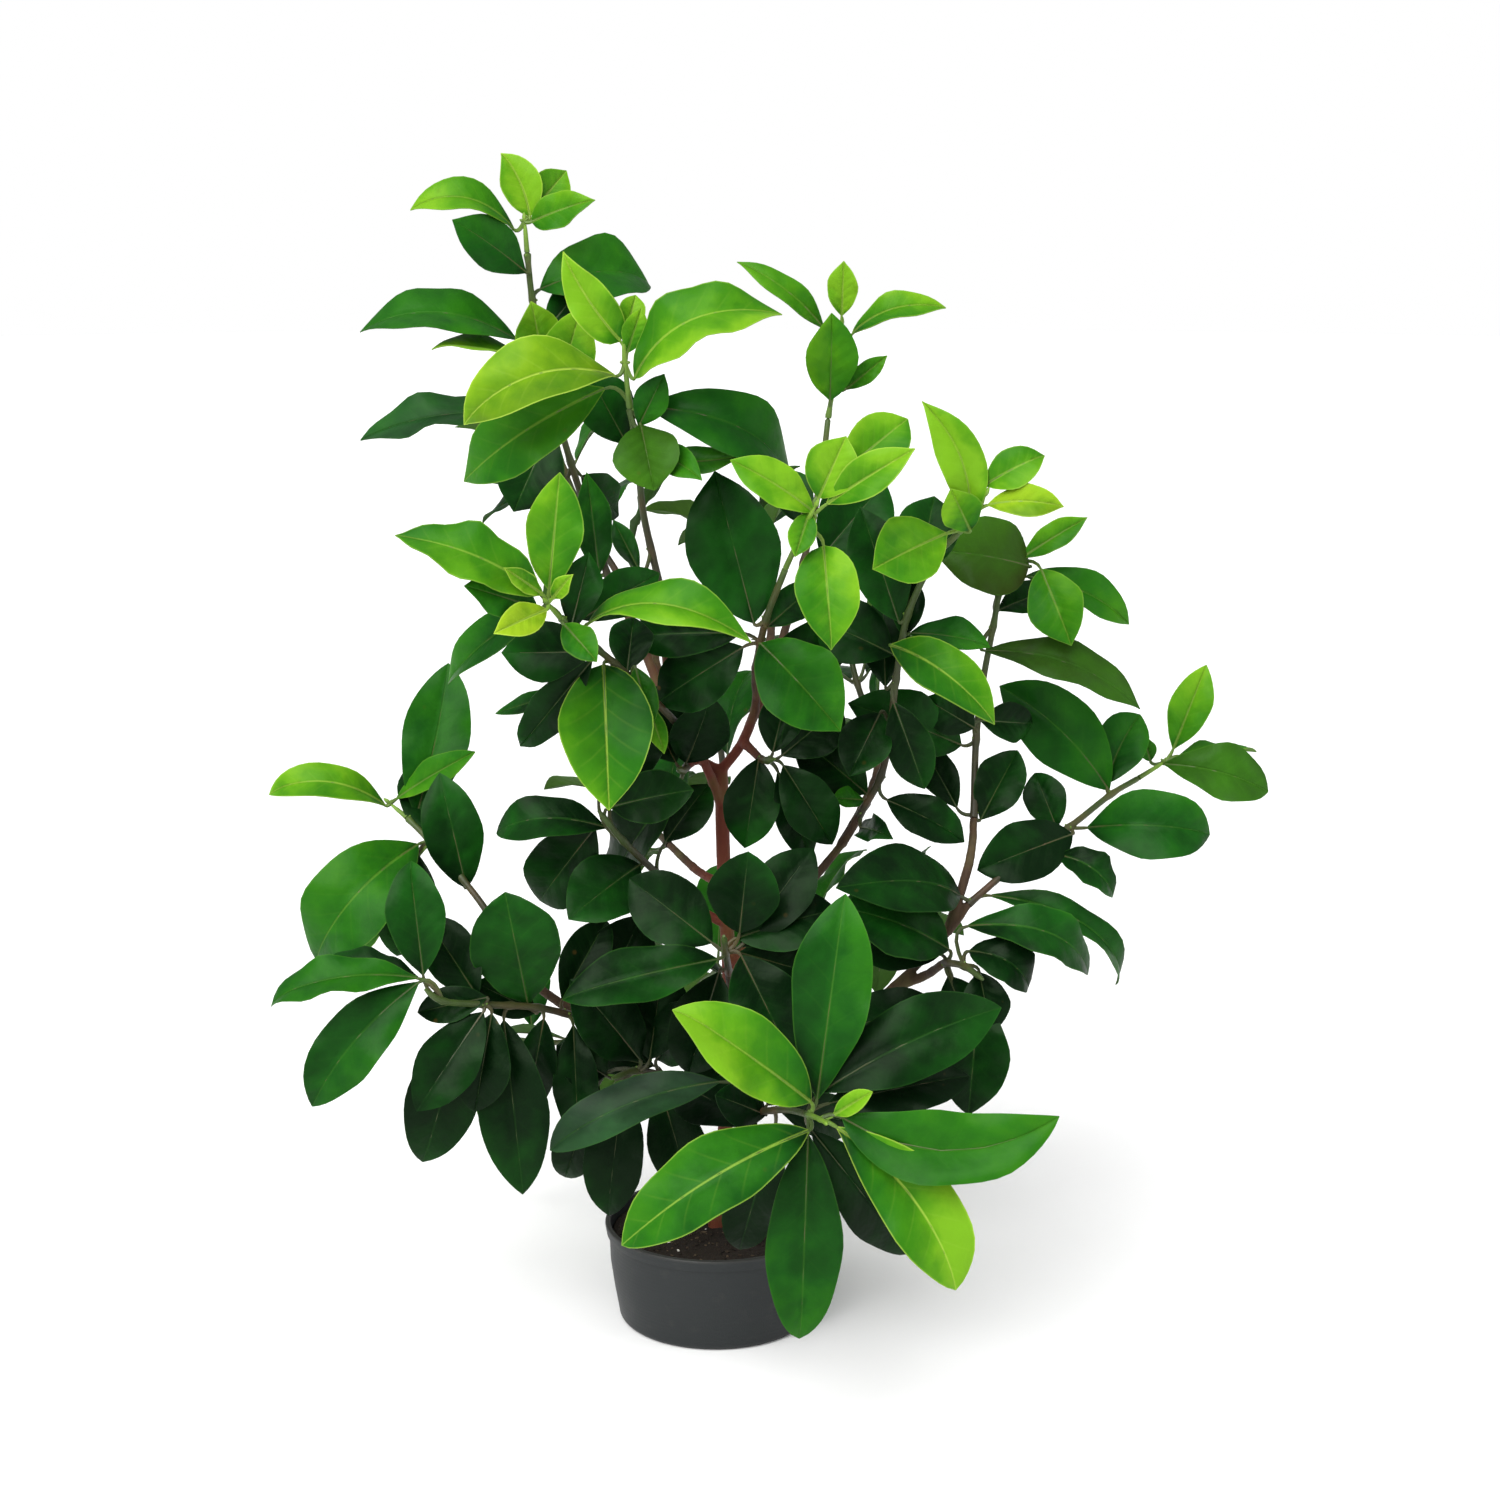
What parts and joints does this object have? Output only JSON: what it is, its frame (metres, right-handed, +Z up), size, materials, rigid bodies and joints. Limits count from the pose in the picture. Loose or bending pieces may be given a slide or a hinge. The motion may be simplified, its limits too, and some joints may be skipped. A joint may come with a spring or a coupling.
{
  "type": "potted laurustinus",
  "caption": "Young evergreen laurustinus shrub with dark older leaves and bright young tips, in a low round nursery pot.",
  "frame": {"origin": "centre of the pot's flat underside", "axes": "+Z up along the pot's axis and the trunk; -Y towards the viewer of the front, where the low front cluster of leaves reaches out"},
  "size_m": [0.5787, 0.479, 0.6691],
  "materials": {
    "pot_plastic": "satin charcoal",
    "potting_mix": "dull, crumbly",
    "bark": "matt reddish brown",
    "old_leaf": "glossy dark green",
    "young_leaf": "glossy light green"
  },
  "bodies": {
    "root": {"pot": "pot_plastic", "potting_mix": "potting_mix", "trunk": "bark", "crown_left_shoot": "old_leaf", "crown_mid_shoot": "old_leaf", "summit_right_shoot": "old_leaf", "centre_right_shoot": "old_leaf", "rosette_left_shoot": "old_leaf", "rise_right_shoot": "old_leaf", "column_right_shoot": "old_leaf", "far_right_shoot": "old_leaf", "low_right_shoot": "old_leaf", "reach_left_shoot": "old_leaf", "low_left_shoot": "old_leaf", "front_low_shoot": "old_leaf", "inner_left_shoot": "old_leaf", "inner_low_shoot": "old_leaf", "fork_left_shoot": "old_leaf", "fork_right_shoot": "old_leaf", "heart_shoot": "old_leaf", "back_crown_shoot": "old_leaf", "back_top_shoot": "old_leaf", "back_right_shoot": "old_leaf", "back_centre_shoot": "old_leaf", "back_left_shoot": "old_leaf", "back_low_shoot": "old_leaf", "back_side_shoot": "old_leaf", "back_low_left_shoot": "old_leaf", "crown_left_tip": "young_leaf", "crown_mid_tip": "young_leaf", "summit_right_tip": "young_leaf", "centre_right_tip": "young_leaf", "rosette_left_tip": "young_leaf", "rise_right_tip": "young_leaf", "column_right_tip": "young_leaf", "far_right_tip": "young_leaf", "reach_left_tip": "young_leaf", "front_low_tip": "young_leaf"}
  },
  "joints": []
}
